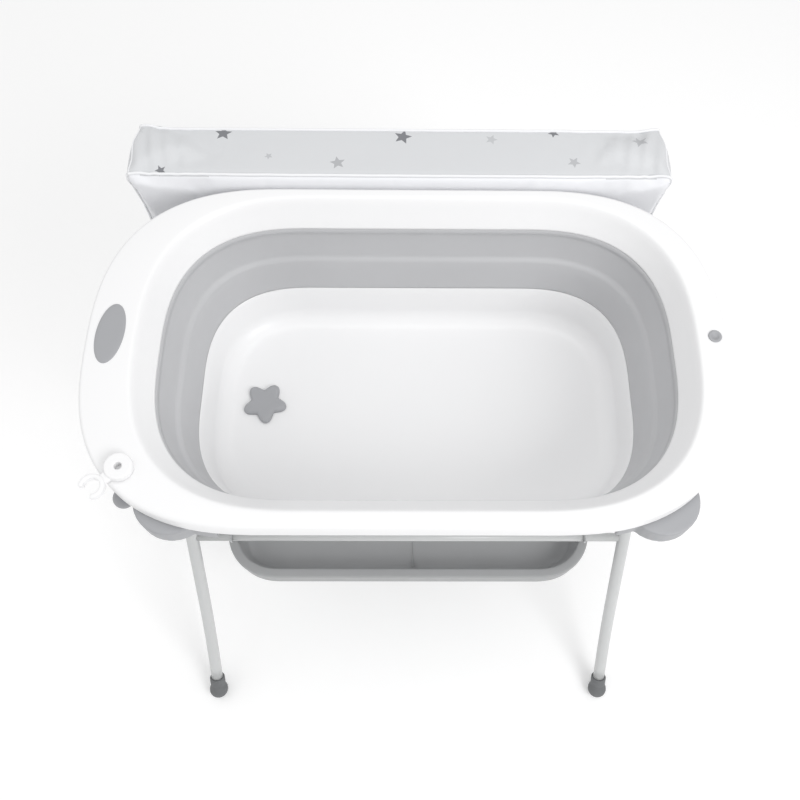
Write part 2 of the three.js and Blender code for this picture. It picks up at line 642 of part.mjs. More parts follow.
function tray() {
  const shape = { halfX: TRAY_HALF_X, halfY: TRAY.halfY, corner: TRAY.corner, power: 2.3 };
  const low = TRAY.top - TRAY.depth;
  const under = TRAY.top - 2 * TRAY.wall;
  const levels = [
    [grown(shape, -TRAY.draft - 14), low],
    [grown(shape, -TRAY.draft), low + 10],
    [grown(shape, -1), under],
    [shape, TRAY.top - 1],
    [grown(shape, -1.5), TRAY.top],
    [grown(shape, -TRAY.lip), TRAY.top],
    [grown(shape, -TRAY.lip - 2), TRAY.top - 3],
    [grown(shape, -TRAY.lip - TRAY.lean), low + 12],
    [grown(shape, -TRAY.lip - TRAY.lean - 10), low + TRAY.wall],
  ];
  add('storage_tray', loft(levels), COLOUR.grey, 0.55);

  const { y, z } = onLeg(1, LOWER_TUBE_AT);
  const tubeGap = CROSS_TUBE_RADIUS + GAP;
  const foot = TRAY.top + GAP;
  const over = z + tubeGap;
  const crest = over + HANGER.thickness;
  const hookProfile = [
    [-y + tubeGap, foot],
    [-y + tubeGap + HANGER.width, foot],
    [-y + tubeGap + HANGER.width, crest],
    [-y - tubeGap - HANGER.thickness, crest],
    [-y - tubeGap - HANGER.thickness, z],
    [-y - tubeGap, z],
    [-y - tubeGap, over],
    [-y + tubeGap, over],
  ];
  const ledgeProfile = [
    [y + tubeGap, foot],
    [y + tubeGap + HANGER.width, foot],
    [y + tubeGap + HANGER.width, crest],
    [y - 2, crest],
    [y - 2, over],
    [y + tubeGap, over],
  ];
  for (const [label, side] of SIDES) {
    for (const [end, profile] of [['front', hookProfile], ['rear', ledgeProfile]]) {
      const hanger = plate(profile, HANGER.thickness)
        .applyMatrix4(new THREE.Matrix4().set(0, 0, 1, 0, 1, 0, 0, 0, 0, 1, 0, 0, 0, 0, 0, 1))
        .translate(side * (TRAY_HALF_X - HANGER.fromEnd) - HANGER.thickness / 2, 0, 0);
      add(`tray_${end}_${label}_hanger`, hanger, COLOUR.steel, 0.4, 0.6);
    }
  }
}

// ---------- changing pad ----------

// The arm turns on the front leg and carries the pad on a pin. The pin's place on the pad is the
// one point that is equally far from the arm's pivot when the pad hangs and when it lies on the bath.
const armPivot = onLeg(-1, ARM_PIVOT_AT);
const padBottom = PAD_TOP - PAD.height;
const pinDepth = PAD_BOARD / 2;

function pinHeight() {
  const hangY = PAD_FRONT + pinDepth - armPivot.y;
  const hangZ = padBottom - armPivot.z;
  const closedY = HALF_WIDTH + PAD_OVERHANG - armPivot.y;
  const closedZ = RIM_HEIGHT + PAD_ABOVE_RIM + pinDepth - armPivot.z;
  return (closedY ** 2 + closedZ ** 2 - hangY ** 2 - hangZ ** 2) / (2 * (hangZ + closedY));
}

const pin = { y: PAD_FRONT + pinDepth, z: padBottom + pinHeight() };

function changingPad() {
  const low = padBottom;
  const height = PAD.height;
  const edge = (side) => side * PAD.width / 2 + PAD_SHIFT;
  const drills = SIDES.map(([, side]) =>
    rodX(PAD_PIN.radius + GAP, 2 * (PAD_PIN.depth + GAP), edge(side), pin.y, pin.z, TUBE_SIDES));
  const board = new THREE.BoxGeometry(PAD.width, PAD_BOARD, height)
    .translate(PAD_SHIFT, PAD_FRONT + PAD_BOARD / 2, low + height / 2);
  add('pad_board', cut(board, ...drills), COLOUR.board, 0.5);

  const face = [[edge(-1), low], [edge(1), low], [edge(1), PAD_TOP], [edge(-1), PAD_TOP]];
  const cushion = plate(face, PAD.thickness - PAD_BOARD - GAP, PAD.rounding)
    .rotateX(Math.PI / 2)
    .translate(0, PAD_FRONT + PAD.thickness, 0);
  add('pad_cushion', cushion, COLOUR.fabric, 0.7);

  for (const [label, side] of SIDES) {
    const half = Math.abs(edge(side));
    const start = half - PAD_PIN.depth;
    const end = ARM_X + ARM.thickness + GAP;
    const shank = rodX(PAD_PIN.radius, end - start, side * (start + end) / 2, pin.y, pin.z, TUBE_SIDES);
    const head = rodX(BOLT.head, 3, side * (end + 1.5), pin.y, pin.z);
    const shoulder = rodX(BOLT.head, ARM_X - half - 2 * GAP, side * (ARM_X + half) / 2, pin.y, pin.z);
    add(`pad_${label}_pin`, join(shank, head, shoulder), COLOUR.steel, 0.35, 0.9);
  }
}

function swingArms() {
  const reach = Math.hypot(pin.y - armPivot.y, pin.z - armPivot.z);
  const lean = Math.atan2(pin.z - armPivot.z, pin.y - armPivot.y);
  const half = ARM.width / 2;
  const blade = [...arc(0, 0, half, 90, 270, 10), ...arc(reach, 0, half, -90, 90, 10)];
  const hole = (at) => rodZ(BOLT.radius + GAP, 3 * ARM.thickness, at, 0, -ARM.thickness, TUBE_SIDES);
  for (const [label, side] of SIDES) {
    const flat = cut(plate(blade, ARM.thickness, 1), hole(0), hole(reach));
    const arm = flat
      .rotateZ(lean)
      .applyMatrix4(new THREE.Matrix4().set(0, 0, 1, 0, 1, 0, 0, 0, 0, 1, 0, 0, 0, 0, 0, 1))
      .translate(side > 0 ? ARM_X : -ARM_X - ARM.thickness, armPivot.y, armPivot.z);
    add(`pad_${label}_arm`, arm, COLOUR.white, 0.4);
    bolt(`arm_${label}`, side, armPivot, {
      from: FRONT_LEG_X - TUBE_RADIUS - GAP - BOLT.nutHeight - 1,
      to: ARM_X + ARM.thickness + GAP,
      washerFrom: FRONT_LEG_X + TUBE_RADIUS + GAP,
      washerTo: ARM_X - GAP,
    });
  }
}

rimPieces();
softWall();
bathBase();
drain();
hoseHolder();
stand();
brackets();
tray();
changingPad();
swingArms();

export default table;
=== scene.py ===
# Folding baby bath and changing table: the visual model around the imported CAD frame. Metres, +Z up.
import math

import bmesh
import bpy
from mathutils import Matrix, Vector
from mathutils.bvhtree import BVHTree


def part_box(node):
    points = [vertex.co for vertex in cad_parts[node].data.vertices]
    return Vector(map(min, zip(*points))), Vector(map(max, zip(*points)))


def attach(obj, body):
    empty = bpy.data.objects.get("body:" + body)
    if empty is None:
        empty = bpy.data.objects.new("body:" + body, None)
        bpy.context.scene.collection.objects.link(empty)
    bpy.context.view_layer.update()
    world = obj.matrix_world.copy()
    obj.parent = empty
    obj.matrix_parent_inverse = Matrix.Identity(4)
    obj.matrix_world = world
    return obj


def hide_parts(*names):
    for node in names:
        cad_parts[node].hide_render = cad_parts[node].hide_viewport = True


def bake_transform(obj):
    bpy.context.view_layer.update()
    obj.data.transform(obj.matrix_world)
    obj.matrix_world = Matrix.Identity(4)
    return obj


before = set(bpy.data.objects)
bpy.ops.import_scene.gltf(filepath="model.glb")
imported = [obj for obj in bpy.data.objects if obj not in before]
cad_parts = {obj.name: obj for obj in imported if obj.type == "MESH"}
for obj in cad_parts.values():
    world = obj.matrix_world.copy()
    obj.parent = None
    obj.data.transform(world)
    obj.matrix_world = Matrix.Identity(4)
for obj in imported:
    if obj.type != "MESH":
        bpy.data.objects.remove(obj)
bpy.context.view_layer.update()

# ---------- sizes, as in the CAD ----------

RIM_LENGTH = 0.8
RIM_WIDTH = 0.476
RIM_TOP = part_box("bath_rim")[1].z
RIM_SKIRT = 0.025
RIM_WALL = 0.003
RIM_EDGE = 0.005
RIM_INNER_EDGE = 0.004
RIM_FLAT = {"left": 0.063, "right": 0.040, "front": 0.024, "back": 0.018}
RIM_SLOPE = (0.0195, 0.0225)
RIM_DROP = 0.039
CORNER_POWER = 2.65
WALL_LEAN = (0.030, 0.0225)
WALL_CORNER = {"top": 0.185, "foot": 0.150}
WALL_HEIGHT = 0.115
WALL_THICKNESS = 0.003
FOLD_STEP = 0.005
BASIN_SHIFT = (0.012, 0.0035)
BASE_DEPTH = 0.065
BASE_ROUNDING = 0.026
BASE_DRAFT = 0.009
GAP = 0.0003
TUBE_RADIUS = 0.011
CROSS_TUBE_RADIUS = 0.0075
FOOT_RADIUS = 0.018
FOOT_Y = 0.312
KNEE = (0.216, 0.150, 0.080)  # y, z and the length of the bend on each side
CAP_RADIUS = 0.0135

HALF_LENGTH = RIM_LENGTH / 2
HALF_WIDTH = RIM_WIDTH / 2
WALL_TOP_Z = RIM_TOP - RIM_DROP
WALL_FOOT_Z = WALL_TOP_Z - WALL_HEIGHT
BASE_TOP_Z = WALL_FOOT_Z - GAP
FLOOR_Z = BASE_TOP_Z - BASE_DEPTH


# ---------- mesh helpers ----------

def new_piece(name, verts, faces, body=None, smooth=True):
    mesh = bpy.data.meshes.new(name)
    mesh.from_pydata(verts, [], faces)
    mesh.validate()
    work = bmesh.new()
    work.from_mesh(mesh)
    bmesh.ops.recalc_face_normals(work, faces=work.faces)
    work.to_mesh(mesh)
    work.free()
    piece = bpy.data.objects.new(name, mesh)
    bpy.context.scene.collection.objects.link(piece)
    if smooth:
        mesh.shade_smooth()
    if body:
        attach(piece, body)
    return piece


def outline(half_x, half_y, corner, x=0.0, y=0.0, power=CORNER_POWER, steps=26):
    """A rounded rectangle whose corners are super-ellipses."""
    points = []
    for quarter in range(4):
        sign_x = 1 if quarter in (0, 3) else -1
        sign_y = 1 if quarter < 2 else -1
        for i in range(steps):
            turn = (i + 0.5) / steps * math.pi / 2
            angle = turn if quarter % 2 == 0 else math.pi / 2 - turn
            along_x = math.cos(angle) ** (2 / power)
            along_y = math.sin(angle) ** (2 / power)
            points.append((
                x + sign_x * (half_x - corner + corner * along_x),
                y + sign_y * (half_y - corner + corner * along_y),
            ))
    return points


def grown(shape, by):
    half_x, half_y, corner, x, y = shape
    return (half_x + by, half_y + by, corner + by, x, y)


def mixed(a, b, share):
    return tuple(p + (q - p) * share for p, q in zip(a, b))


def loft(name, loops, body=None, ring=False, closed_ends=True):
    """Joins loops of 3-D points that have the same count."""
    count = len(loops[0])
    verts = [p for loop in loops for p in loop]
    faces = []
    last = len(loops) if ring else len(loops) - 1
    for level in range(last):
        here = level * count
        after = ((level + 1) % len(loops)) * count
        for i in range(count):
            j = (i + 1) % count
            faces.append((here + i, here + j, after + j, after + i))
    if not ring and closed_ends:
        for level in (0, len(loops) - 1):
            middle = len(verts)
            loop = loops[level]
            verts.append(tuple(sum(p[k] for p in loop) / count for k in range(3)))
            for i in range(count):
                faces.append((middle, level * count + i, level * count + (i + 1) % count))
    return new_piece(name, verts, faces, body)


def levels(shapes, power=CORNER_POWER):
    return [[(x, y, z) for x, y in outline(*shape, power=power)] for shape, z in shapes]


def lathe(name, profile, body=None, sides=40, place=(0, 0, 0), direction=(0, 0, 1)):
    """A turned piece: the profile holds (radius, height) pairs, and a radius of 0 closes an end."""
    turn = Vector((0, 0, 1)).rotation_difference(Vector(direction))
    loops, verts, faces = [], [], []
    for radius, height in profile:
        if radius <= 0:
            loops.append([len(verts)])
            verts.append(Vector((0, 0, height)))
            continue
        loops.append(list(range(len(verts), len(verts) + sides)))
        for i in range(sides):
            angle = 2 * math.pi * i / sides
            verts.append(Vector((radius * math.cos(angle), radius * math.sin(angle), height)))
    for a, b in zip(loops, loops[1:]):
        for i in range(sides):
            j = (i + 1) % sides
            if len(a) == 1:
                faces.append((a[0], b[i], b[j]))
            elif len(b) == 1:
                faces.append((a[i], a[j], b[0]))
            else:
                faces.append((a[i], a[j], b[j], b[i]))
    return new_piece(name, [turn @ v + Vector(place) for v in verts], faces, body)


def tube(name, points, radius, body=None, sides=28, closed=False):
    """A round rod along a path in space."""
    points = [Vector(p) for p in points]
    count = len(points)
    verts, faces = [], []
    across = None
    for i, point in enumerate(points):
        if closed:
            along = points[(i + 1) % count] - points[i - 1]
        else:
            along = points[min(i + 1, count - 1)] - points[max(i - 1, 0)]
        along.normalize()
        if across is None:
            across = along.orthogonal().normalized()
        across = (across - along * across.dot(along)).normalized()
        other = along.cross(across)
        for k in range(sides):
            angle = 2 * math.pi * k / sides
            verts.append(point + radius * (math.cos(angle) * across + math.sin(angle) * other))
    last = count if closed else count - 1
    for i in range(last):
        after = (i + 1) % count
        for k in range(sides):
            j = (k + 1) % sides
            faces.append((i * sides + k, i * sides + j, after * sides + j, after * sides + k))
    if not closed:
        faces.append(tuple(range(sides)))
        faces.append(tuple((count - 1) * sides + k for k in range(sides)))
    return new_piece(name, verts, faces, body)


def apply_modifiers(piece):
    depsgraph = bpy.context.evaluated_depsgraph_get()
    mesh = bpy.data.meshes.new_from_object(piece.evaluated_get(depsgraph))
    piece.modifiers.clear()
    piece.data = mesh
    return piece


def moulded(node, body, voxel, rounds):
    """A moulded piece: the CAD solid's shape with its edges softened."""
    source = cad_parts[node]
    piece = bpy.data.objects.new(f"{node}_moulded", source.data.copy())
    bpy.context.scene.collection.objects.link(piece)
    remesh = piece.modifiers.new("remesh", "REMESH")
    remesh.mode = "VOXEL"
    remesh.voxel_size = voxel
    soften = piece.modifiers.new("soften", "SMOOTH")
    soften.factor = 0.5
    soften.iterations = rounds
    apply_modifiers(piece)
    piece.data.materials.clear()
    piece.data.shade_smooth()
    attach(piece, body)
    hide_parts(node)
    return piece


# ---------- materials ----------

def blank_material(name, colour, roughness, **sockets):
    material = bpy.data.materials.new(name)
    material.use_nodes = True
    shader = material.node_tree.nodes["Principled BSDF"]
    shader.inputs["Base Color"].default_value = (*colour, 1)
    shader.inputs["Roughness"].default_value = roughness
    for label, value in sockets.items():
        shader.inputs[label.replace("_", " ")].default_value = value
    material.diffuse_color = (*colour, 1)
    return material, material.node_tree, shader


def link(tree, source, target):
    tree.links.new(source, target)


def noise(tree, scale, detail=4.0, stretch=(1, 1, 1)):
    place = tree.nodes.new("ShaderNodeTexCoord")
    mapping = tree.nodes.new("ShaderNodeMapping")
    mapping.inputs["Scale"].default_value = stretch
    texture = tree.nodes.new("ShaderNodeTexNoise")
    texture.inputs["Scale"].default_value = scale
    texture.inputs["Detail"].default_value = detail
    link(tree, place.outputs["Object"], mapping.inputs["Vector"])
    link(tree, mapping.outputs["Vector"], texture.inputs["Vector"])
    return texture.outputs["Fac"]


def ranged(tree, value, low, high, from_low=0.3, from_high=0.7):
    node = tree.nodes.new("ShaderNodeMapRange")
    node.inputs["From Min"].default_value = from_low
    node.inputs["From Max"].default_value = from_high
    node.inputs["To Min"].default_value = low
    node.inputs["To Max"].default_value = high
    link(tree, value, node.inputs["Value"])
    return node.outputs["Result"]


def bump(tree, shader, height, distance, strength=1.0):
    node = tree.nodes.new("ShaderNodeBump")
    node.inputs["Strength"].default_value = strength
    node.inputs["Distance"].default_value = distance
    link(tree, height, node.inputs["Height"])
    link(tree, node.outputs["Normal"], shader.inputs["Normal"])


def colour_mix(tree, factor, first, second):
    node = tree.nodes.new("ShaderNodeMix")
    node.data_type = "RGBA"
    link(tree, factor, node.inputs["Factor"])
    for socket, value in ((node.inputs[6], first), (node.inputs[7], second)):
        if isinstance(value, tuple):
            socket.default_value = (*value, 1)
        else:
            link(tree, value, socket)
    return node.outputs[2]


def plastic(name, colour, roughness, grain=2500, depth=0.00002, drift=0.03, sheen=0.12, **sockets):
    """Moulded plastic or rubber: a slow drift of tone and gloss, and a fine grain."""
    material, tree, shader = blank_material(name, colour, roughness, **sockets)
    slow = noise(tree, 9, 3)
    darker = tuple(c * (1 - drift) for c in colour)
    lighter = tuple(min(1, c * (1 + drift)) for c in colour)
    link(tree, colour_mix(tree, slow, darker, lighter), shader.inputs["Base Color"])
    gloss = noise(tree, 40, 5)
    uneven = ranged(tree, gloss, roughness * (1 - sheen), roughness * (1 + sheen))
    link(tree, uneven, shader.inputs["Roughness"])
    bump(tree, shader, noise(tree, grain, 2), depth)
    return material


def paint(name, colour, roughness):
    material, tree, shader = blank_material(name, colour, roughness, Metallic=0.0, Coat_Weight=0.3)
    shader.inputs["Coat Roughness"].default_value = 0.2
    slow = noise(tree, 14, 4)
    link(tree, colour_mix(tree, slow, tuple(c * 0.95 for c in colour), colour), shader.inputs["Base Color"])
    uneven = ranged(tree, noise(tree, 90, 6), roughness * 0.8, roughness * 1.2)
    link(tree, uneven, shader.inputs["Roughness"])
    bump(tree, shader, noise(tree, 700, 2), 0.00004)
    return material


def brushed(name, colour, roughness):
    material, tree, shader = blank_material(name, colour, roughness, Metallic=1.0)
    streaks = noise(tree, 600, 4, (1, 12, 12))
    link(tree, ranged(tree, streaks, roughness * 0.7, roughness * 1.3), shader.inputs["Roughness"])
    darker = tuple(c * 0.85 for c in colour)
    link(tree, colour_mix(tree, streaks, darker, colour), shader.inputs["Base Color"])
    bump(tree, shader, streaks, 0.00001)
    return material


def math_node(tree, operation, *values):
    node = tree.nodes.new("ShaderNodeMath")
    node.operation = operation
    for i, value in enumerate(values):
        if isinstance(value, (int, float)):
            node.inputs[i].default_value = value
        else:
            link(tree, value, node.inputs[i])
    return node.outputs["Value"]


STAR_POINT = math.pi / 5
STAR_WAIST = 0.45


def star_mask(tree, across, up, radius, turn):
    """1 inside a five-pointed star about the origin of the plane (across, up)."""
    distance = math_node(tree, "SQRT", math_node(
        tree, "ADD",
        math_node(tree, "MULTIPLY", across, across),
        math_node(tree, "MULTIPLY", up, up),
    ))
    angle = math_node(tree, "ADD", math_node(tree, "ARCTAN2", across, up), turn)
    folded = math_node(tree, "PINGPONG", angle, STAR_POINT)
    rest = math_node(tree, "SUBTRACT", STAR_POINT, folded)
    waist = math_node(tree, "MULTIPLY", math_node(tree, "SINE", rest), STAR_WAIST)
    line = math_node(tree, "ADD", math_node(tree, "SINE", folded), waist)
    edge = math_node(tree, "DIVIDE", STAR_WAIST * math.sin(STAR_POINT), line)
    reach = math_node(tree, "MULTIPLY", edge, radius)
    return math_node(tree, "LESS_THAN", distance, reach)


# Stars on the pad's upper side: share of the width, share of the depth from the front, radius, darkness.
TOP_STARS = (
    (0.173, 0.86, 0.0125, 1.0), (0.504, 0.82, 0.0130, 1.0), (0.068, 0.17, 0.0080, 1.0),
    (0.784, 0.91, 0.0085, 1.0), (0.260, 0.44, 0.0060, 0.35), (0.386, 0.33, 0.0110, 0.5),
    (0.668, 0.78, 0.0090, 0.3), (0.817, 0.36, 0.0095, 0.4), (0.940, 0.70, 0.0120, 0.4),
    (0.020, 0.88, 0.0080, 0.15),
)
CLOTH_PLAIN = (0.66, 0.67, 0.685)
STAR_DARK = (0.20, 0.205, 0.22)


def cloth(name, plane, stars=None, scatter=False, plain=CLOTH_PLAIN):
    """Coated cloth with a fine weave, and a star print where one is asked for."""
    material, tree, shader = blank_material(name, plain, 0.55, Sheen_Weight=0.15)
    shader.inputs["Sheen Roughness"].default_value = 0.4
    place = tree.nodes.new("ShaderNodeTexCoord")
    split = tree.nodes.new("ShaderNodeSeparateXYZ")
    link(tree, place.outputs["Object"], split.inputs["Vector"])
    across, up = split.outputs[plane[0]], split.outputs[plane[1]]
    slow = noise(tree, 7, 4)
    colour = colour_mix(tree, slow, tuple(c * 0.97 for c in plain), plain)
    low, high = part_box("pad_cushion")
    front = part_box("pad_board")[0].y
    for share_x, share_y, radius, dark in stars or ():
        x = low.x + share_x * (high.x - low.x)
        y = front + share_y * (high.y - front)
        mask = star_mask(
            tree,
            math_node(tree, "SUBTRACT", across, x),
            math_node(tree, "SUBTRACT", up, y),
            radius,
            7 * share_x,
        )
        tone = tuple(p + (q - p) * dark for p, q in zip(plain, STAR_DARK))
        colour = colour_mix(tree, mask, colour, tone)
    if scatter:
        flat = tree.nodes.new("ShaderNodeCombineXYZ")
        link(tree, across, flat.inputs["X"])
        link(tree, up, flat.inputs["Y"])
        cells = tree.nodes.new("ShaderNodeTexVoronoi")
        cells.voronoi_dimensions = "2D"
        cells.inputs["Scale"].default_value = 11
        cells.inputs["Randomness"].default_value = 0.75
        link(tree, flat.outputs["Vector"], cells.inputs["Vector"])
        centre = tree.nodes.new("ShaderNodeSeparateXYZ")
        chance = tree.nodes.new("ShaderNodeSeparateColor")
        link(tree, cells.outputs["Position"], centre.inputs["Vector"])
        link(tree, cells.outputs["Color"], chance.inputs["Color"])
        mask = star_mask(
            tree,
            math_node(tree, "SUBTRACT", across, centre.outputs["X"]),
            math_node(tree, "SUBTRACT", up, centre.outputs["Y"]),
            ranged(tree, chance.outputs["Red"], 0.004, 0.0125, 0, 1),
            ranged(tree, chance.outputs["Blue"], 0, 6, 0, 1),
        )
        dark = ranged(tree, chance.outputs["Green"], 0.15, 1.0, 0.2, 0.9)
        colour = colour_mix(tree, math_node(tree, "MULTIPLY", mask, dark), colour, STAR_DARK)
    link(tree, colour, shader.inputs["Base Color"])
    threads = []
    for axis in ("X", "Y", "Z"):
        wave = tree.nodes.new("ShaderNodeTexWave")
        wave.bands_direction = axis
        wave.inputs["Scale"].default_value = 480
        link(tree, place.outputs["Object"], wave.inputs["Vector"])
        threads.append(wave.outputs["Fac"])
    weave = math_node(tree, "ADD", math_node(tree, "ADD", threads[0], threads[1]), threads[2])
    soft = math_node(tree, "MULTIPLY", noise(tree, 60, 4), 3)
    bump(tree, shader, math_node(tree, "ADD", weave, soft), 0.00006, 0.6)
    return material


MATERIALS = {
    "white_plastic": plastic(
        "white_plastic", (0.87, 0.87, 0.875), 0.35, depth=0.000004, drift=0.003, sheen=0.03),
    "soft_wall": plastic("soft_wall", (0.52, 0.523, 0.535), 0.5, grain=1600, depth=0.00003),
    "grey_plastic": plastic("grey_plastic", (0.36, 0.365, 0.38), 0.5, depth=0.00004),
    "tray_plastic": plastic("tray_plastic", (0.37, 0.375, 0.38), 0.45, depth=0.00004),
    "painted_tube": paint("painted_tube", (0.60, 0.61, 0.61), 0.35),
    "steel": brushed("steel", (0.62, 0.63, 0.64), 0.3),
    "foot_rubber": plastic("foot_rubber", (0.16, 0.165, 0.17), 0.7, grain=900, depth=0.00006),
    "pad_fabric": cloth("pad_fabric", ("X", "Y"), stars=TOP_STARS),
    "pad_print_back": cloth("pad_print_back", ("X", "Z"), scatter=True),
    "pad_print_side": cloth("pad_print_side", ("Y", "Z"), scatter=True),
    "pad_panel": cloth("pad_panel", ("X", "Z"), plain=(0.84, 0.845, 0.87)),
    "pad_piping": cloth("pad_piping", ("X", "Z"), plain=(0.86, 0.865, 0.88)),
}


def dress(piece, name):
    piece.data.materials.clear()
    piece.data.materials.append(MATERIALS[name])
    return piece


# ---------- camera, light and floor ----------

CAMERA_PLACE = Vector((-0.0217, -0.5088, 1.8371))
CAMERA_PITCH = math.radians(65.293)
CAMERA_ROLL = math.radians(-1.696)
CAMERA_YAW = math.radians(-1.655)
CAMERA_LENS = 38.7
SENSOR_WIDTH = 36
SIDE_STEP = 0.0266  # to the right, with the frame shifted back by as much
RIM_DISTANCE = 1.03


def camera():
    data = bpy.data.cameras.new("camera")
    data.lens = CAMERA_LENS
    data.sensor_width = SENSOR_WIDTH
    data.clip_start = 0.05
    view = bpy.data.objects.new("camera", data)
    bpy.context.scene.collection.objects.link(view)
    forward = Vector((0, math.cos(CAMERA_PITCH), -math.sin(CAMERA_PITCH)))
    down = Vector((0, -math.sin(CAMERA_PITCH), -math.cos(CAMERA_PITCH)))
    side = Vector((1, 0, 0))
    right = math.cos(CAMERA_ROLL) * side + math.sin(CAMERA_ROLL) * down
    below = -math.sin(CAMERA_ROLL) * side + math.cos(CAMERA_ROLL) * down
    axes = Matrix((right, -below, -forward)).transposed()
    turn = Matrix.Rotation(CAMERA_YAW, 3, "Z")
    place = CAMERA_PLACE + SIDE_STEP * (turn @ right)
    view.matrix_world = Matrix.Translation(place) @ (turn @ axes).to_4x4()
    data.shift_x = -SIDE_STEP / RIM_DISTANCE * CAMERA_LENS / SENSOR_WIDTH
    bpy.context.scene.camera = view


def area_light(name, place, target, size, power):
    data = bpy.data.lights.new(name, "AREA")
    data.shape = "RECTANGLE"
    data.size, data.size_y = size
    data.energy = power
    lamp = bpy.data.objects.new(name, data)
    bpy.context.scene.collection.objects.link(lamp)
    lamp.location = place
    lamp.rotation_euler = (Vector(target) - Vector(place)).to_track_quat("-Z", "Y").to_euler()


def studio():
    world = bpy.data.worlds.new("studio")
    bpy.context.scene.world = world
    world.use_nodes = True
    world.node_tree.nodes["Background"].inputs["Color"].default_value = (1, 1, 1, 1)
    world.node_tree.nodes["Background"].inputs["Strength"].default_value = 0.70
    bpy.context.scene.view_settings.view_transform = "Standard"
    area_light("key", (1.5, -1.5, 2.5), (0, 0, 0.75), (1.3, 1.3), 30)
    area_light("top", (0.1, 0.15, 3.0), (0, 0.05, 0.7), (1.0, 1.0), 8)
    area_light("fill", (-1.8, 0.2, 2.4), (0, 0, 0.6), (2.0, 2.0), 5)
    floor = new_piece(
        "floor", [(-9, -9, 0), (9, -9, 0), (9, 9, 0), (-9, 9, 0)], [(0, 1, 2, 3)], smooth=False)
    material, tree, shader = blank_material("floor", (0.93, 0.93, 0.93), 0.9, Specular_IOR_Level=0.1)
    shader.inputs["Emission Color"].default_value = (1, 1, 1, 1)
    shader.inputs["Emission Strength"].default_value = 0.16
    bump(tree, shader, noise(tree, 60, 3), 0.00002)
    floor.data.materials.append(material)


# ---------- bath ----------

RIM_OUTER = (HALF_LENGTH, HALF_WIDTH, HALF_WIDTH, 0.0, 0.0)
RIM_INNER = (
    (RIM_LENGTH - RIM_FLAT["left"] - RIM_FLAT["right"]) / 2,
    (RIM_WIDTH - RIM_FLAT["front"] - RIM_FLAT["back"]) / 2,
    (RIM_WIDTH - RIM_FLAT["front"] - RIM_FLAT["back"]) / 2,
    (RIM_FLAT["left"] - RIM_FLAT["right"]) / 2,
    (RIM_FLAT["front"] - RIM_FLAT["back"]) / 2,
)
WALL_TOP = (
    RIM_INNER[0] - RIM_SLOPE[0], RIM_INNER[1] - RIM_SLOPE[1], WALL_CORNER["top"], *BASIN_SHIFT)
WALL_FOOT = (
    WALL_TOP[0] - WALL_LEAN[0], WALL_TOP[1] - WALL_LEAN[1], WALL_CORNER["foot"], *BASIN_SHIFT)


def fillet(shape, radius, z, steps=6, start=0, end=90):
    """Levels around an outer edge: 0 degrees is the side, 90 degrees is the top."""
    found = []
    for i in range(steps + 1):
        angle = math.radians(start + (end - start) * i / steps)
        found.append((
            grown(shape, radius * (math.cos(angle) - 1)),
            z - radius + radius * math.sin(angle),
        ))
    return found


def rim():
    bottom = RIM_TOP - RIM_SKIRT
    slope = mixed(RIM_INNER, WALL_TOP, 0.25)
    slope_z = RIM_TOP - RIM_DROP * 0.3
    bead = 0.0009
    shapes = [
        (grown(RIM_OUTER, -0.0022), bottom),
        (grown(RIM_OUTER, -bead), bottom + 0.0004),
        (RIM_OUTER, bottom + 0.0016),
        (RIM_OUTER, bottom + 0.0052),
        (grown(RIM_OUTER, -bead), bottom + 0.0066),
        *fillet(grown(RIM_OUTER, -bead * 0.6), RIM_EDGE, RIM_TOP - 0.0002, 7),
        (grown(RIM_INNER, RIM_INNER_EDGE * 1.8), RIM_TOP),
        (grown(RIM_INNER, RIM_INNER_EDGE), RIM_TOP - 0.0002),
        (grown(RIM_INNER, RIM_INNER_EDGE * 0.45), RIM_TOP - 0.0008),
        (grown(RIM_INNER, RIM_INNER_EDGE * 0.12), RIM_TOP - 0.0022),
        (mixed(RIM_INNER, slope, 0.35), RIM_TOP - 0.0050),
        (slope, slope_z),
        (mixed(slope, WALL_TOP, 0.5), (slope_z + WALL_TOP_Z) / 2),
        (mixed(slope, WALL_TOP, 0.92), WALL_TOP_Z + 0.0026),
        (grown(WALL_TOP, 0.0003), WALL_TOP_Z + 0.0006),
        (grown(WALL_TOP, 0.0012), WALL_TOP_Z),
        (grown(WALL_TOP, RIM_WALL), WALL_TOP_Z),
        (grown(mixed(slope, WALL_TOP, 0.5), RIM_WALL), (slope_z + WALL_TOP_Z) / 2),
        (grown(slope, RIM_WALL), slope_z - 0.001),
        (grown(RIM_INNER, RIM_WALL), RIM_TOP - RIM_WALL - 0.001),
        (grown(RIM_INNER, 2 * RIM_WALL), RIM_TOP - RIM_WALL),
        (grown(RIM_OUTER, -RIM_WALL - 0.002), RIM_TOP - RIM_WALL),
        (grown(RIM_OUTER, -RIM_WALL - 0.0004), RIM_TOP - RIM_EDGE),
        (grown(RIM_OUTER, -RIM_WALL), bottom),
    ]
    piece = loft("bath_rim_shell", levels(shapes), ring=True)
    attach(piece, "bath")
    dress(piece, "white_plastic")
    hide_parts("bath_rim")


def oval(x, y, half_x, half_y, tilt, z, steps=64):
    points = []
    for i in range(steps):
        angle = 2 * math.pi * i / steps
        along, up = half_x * math.cos(angle), half_y * math.sin(angle)
        points.append((
            x + along * math.cos(tilt) - up * math.sin(tilt),
            y + along * math.sin(tilt) + up * math.cos(tilt),
            z,
        ))
    return points


INSET = {"half_x": 0.0178, "half_y": 0.042, "tilt": math.radians(-4)}


def inset_middle():
    low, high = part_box("rim_inset")
    return (low.x + high.x) / 2, (low.y + high.y) / 2


